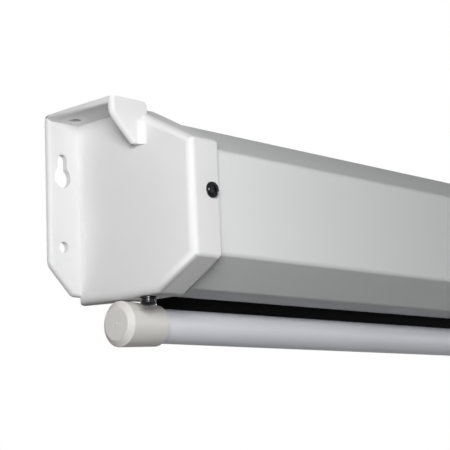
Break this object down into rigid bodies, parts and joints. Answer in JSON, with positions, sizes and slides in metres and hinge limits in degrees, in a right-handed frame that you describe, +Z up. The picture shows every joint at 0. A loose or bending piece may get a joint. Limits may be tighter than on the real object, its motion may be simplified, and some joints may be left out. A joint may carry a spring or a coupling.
{
  "type": "projection screen",
  "caption": "Manual pull-down projection screen: six-sided case with moulded end caps, spring roller with a pawl lock, cloth, weight bar with end caps and a hinged pull handle.",
  "frame": {"origin": "mid-length of the screen, on the wall plane, level with the screws that the keyholes hang on", "axes": "+X along the case to the viewer's right as seen from the room, +Y into the wall, +Z up"},
  "size_m": [1.3684, 0.0865, 0.1688],
  "materials": {
    "case_paint": "satin white powder coat on folded sheet steel",
    "cap_plastic": "satin white moulded plastic",
    "bar_cap_plastic": "fine matt warm white moulded plastic",
    "hem_plastic": "extruded white plastic rod",
    "bar_paint": "satin light grey paint on steel tube",
    "dark_screw": "polished black nickel",
    "zinc_steel": "zinc plated steel",
    "spring_steel": "oiled spring steel wire",
    "black_nylon": "black moulded nylon",
    "screen_cloth": "black-backed white screen cloth with black borders"
  },
  "bodies": {
    "case": {"case_shell": "case_paint", "end_cap_left": "cap_plastic", "end_cap_right": "cap_plastic", "cap_screw_front_left": "dark_screw", "cap_screw_front_right": "dark_screw", "cap_screw_bottom_left": "dark_screw", "cap_screw_bottom_right": "dark_screw", "cap_washer_left": "dark_screw", "cap_washer_right": "dark_screw", "lock_washer_left": "dark_screw", "lock_washer_right": "dark_screw", "shaft_socket": "black_nylon", "spring_shaft": "zinc_steel", "ratchet_collar": "zinc_steel", "torsion_spring": "spring_steel", "shaft_guide": "black_nylon", "idler_bush": "black_nylon"},
    "roller": {"roller_tube": "zinc_steel", "cloth_roll": "screen_cloth", "pawl_plug": "black_nylon", "pawl_pin_upper": "zinc_steel", "pawl_pin_lower": "zinc_steel", "idler_plug": "black_nylon", "idler_pin": "zinc_steel"},
    "upper_pawl": {"lock_pawl_upper": "zinc_steel"},
    "lower_pawl": {"lock_pawl_lower": "zinc_steel"},
    "weight_bar": {"bar_tube": "bar_paint", "bar_cap_left": "bar_cap_plastic", "bar_cap_right": "bar_cap_plastic", "hem_rod": "hem_plastic", "weight_rod": "zinc_steel", "cloth_sheet": "screen_cloth", "handle_bracket": "cap_plastic", "handle_screw_left": "dark_screw", "handle_screw_right": "dark_screw", "handle_pin": "zinc_steel"},
    "handle": {"pull_handle": "cap_plastic"}
  },
  "joints": [
    {"name": "screen_drop", "type": "slide", "parent": "case", "child": "weight_bar", "axis": [0, 0, -1], "range_m": [0, 0.9473], "deforming": ["cloth_sheet"]},
    {"name": "roller_turn", "type": "hinge", "parent": "case", "child": "roller", "pos_m": [0, -0.0491, -0.0216], "axis": [-1, 0, 0], "range_deg": [0, 2700]},
    {"name": "upper_pawl_turn", "type": "hinge", "parent": "roller", "child": "upper_pawl", "pos_m": [-0.6484, -0.0491, -0.009], "axis": [1, 0, 0], "range_deg": [-30, 0]},
    {"name": "lower_pawl_turn", "type": "hinge", "parent": "roller", "child": "lower_pawl", "pos_m": [-0.6484, -0.0491, -0.0342], "axis": [1, 0, 0], "range_deg": [-30, 0]},
    {"name": "handle_swing", "type": "hinge", "parent": "weight_bar", "child": "handle", "pos_m": [0, -0.027, -0.1035], "axis": [1, 0, 0], "range_deg": [-80, 80]}
  ],
  "couplings": [
    {"joint": "roller_turn", "follows": "screen_drop", "rad_per_m": 49.745}
  ]
}
